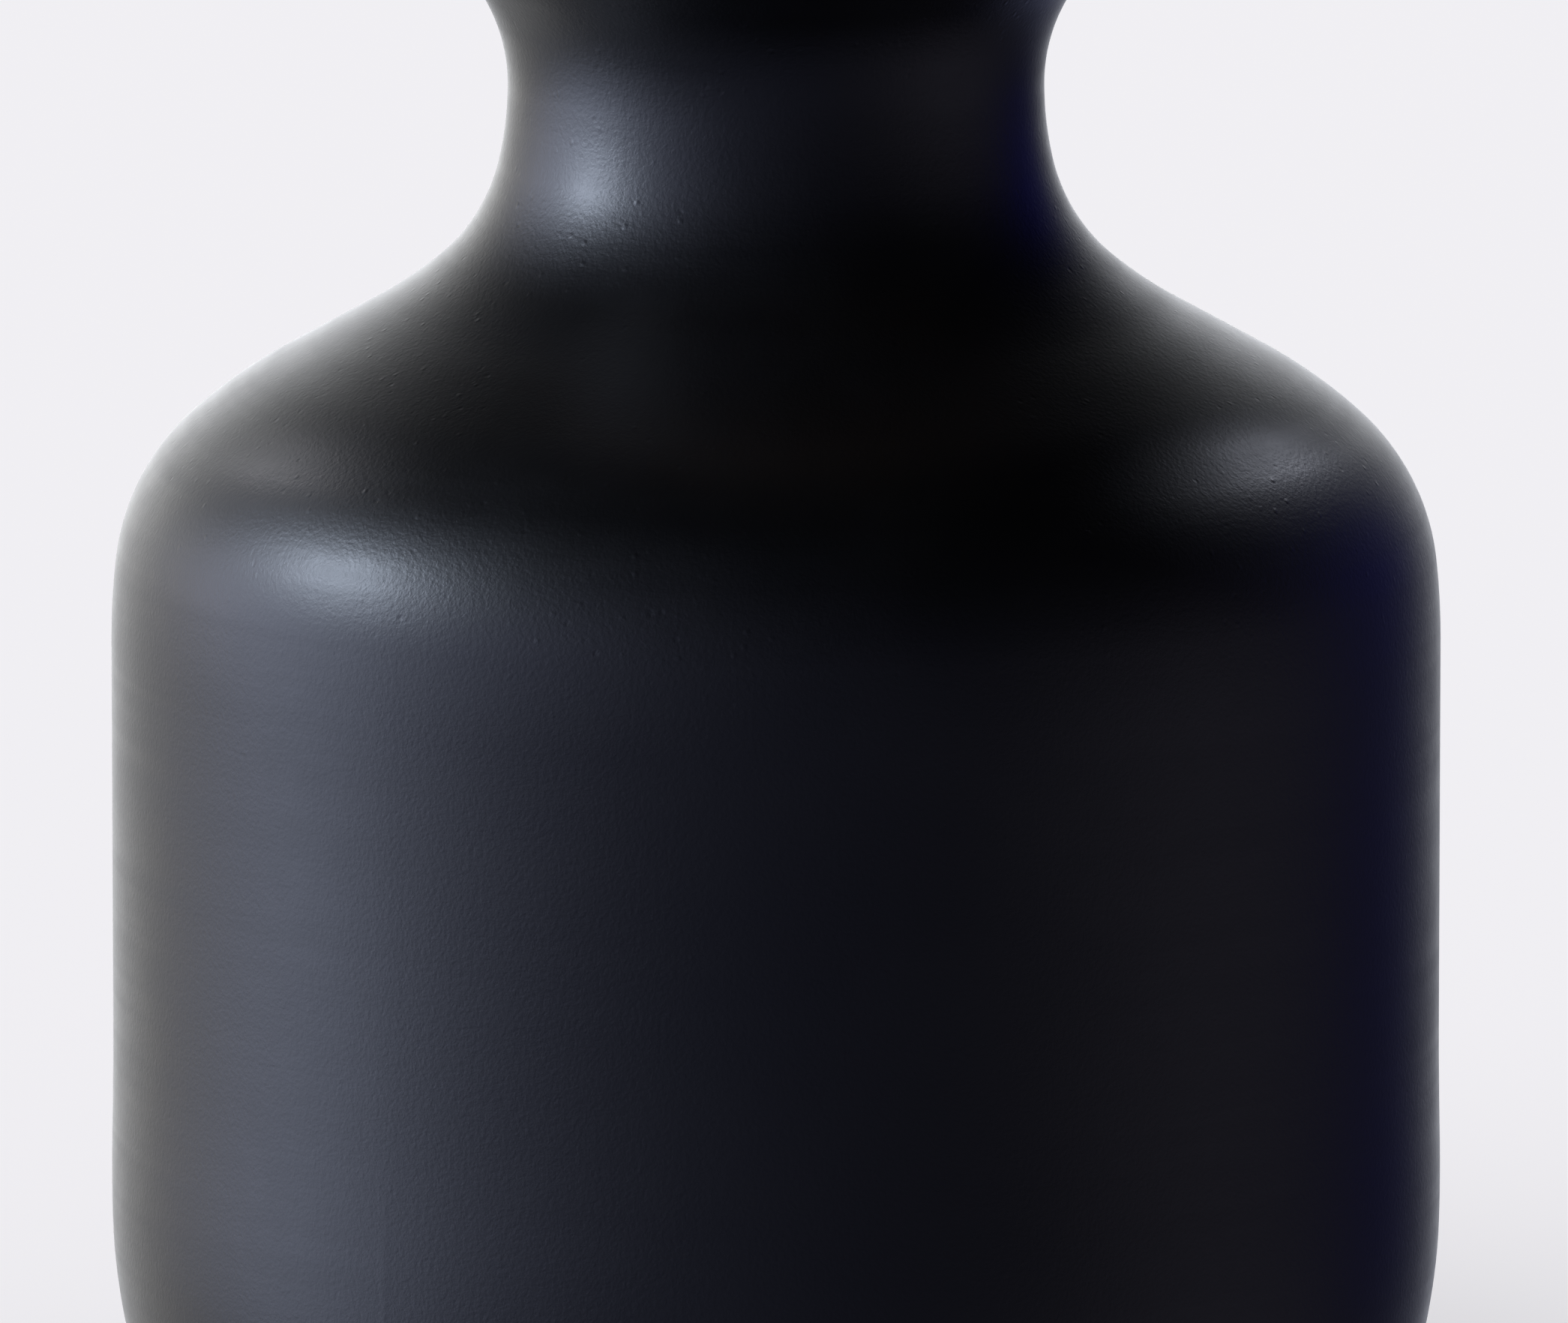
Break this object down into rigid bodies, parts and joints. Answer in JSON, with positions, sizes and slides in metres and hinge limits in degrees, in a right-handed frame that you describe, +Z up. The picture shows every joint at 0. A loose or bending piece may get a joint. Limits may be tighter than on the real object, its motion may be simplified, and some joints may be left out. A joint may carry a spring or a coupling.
{
  "type": "candle jar",
  "caption": "Round matte black jar for candle wax with a straight body, sloping shoulder, waisted neck and flared lip, closed by a turned wooden stopper lid.",
  "frame": {"origin": "centre of the base, on the surface that the foot pads stand on", "axes": "+Z up along the jar's axis; X and Y are level, with the foot pads on their diagonals"},
  "size_m": [0.1, 0.1, 0.1515],
  "materials": {
    "coated_glass": "satin black spray coat with a fine orange peel over moulded glass, opaque",
    "wood": "turned and oiled, fine grain",
    "silicone": "soft satin, slightly translucent",
    "steel": "zinc plated",
    "pad_rubber": "matte"
  },
  "bodies": {
    "vessel": {"vessel": "coated_glass", "foot_pad_1": "pad_rubber", "foot_pad_2": "pad_rubber", "foot_pad_3": "pad_rubber", "foot_pad_4": "pad_rubber"},
    "seals": {"seal_ring_lower": "silicone", "seal_ring_upper": "silicone"},
    "lid": {"lid": "wood", "knob": "wood", "knob_washer": "steel", "knob_screw": "steel"}
  },
  "joints": [
    {"name": "lid_lift", "type": "slide", "parent": "vessel", "child": "seals", "axis": [0, 0, 1], "range_m": [0, 0.07]},
    {"name": "lid_turn", "type": "hinge", "parent": "seals", "child": "lid", "pos_m": [0, 0, 0.1089], "axis": [0, 0, 1], "continuous": true}
  ]
}
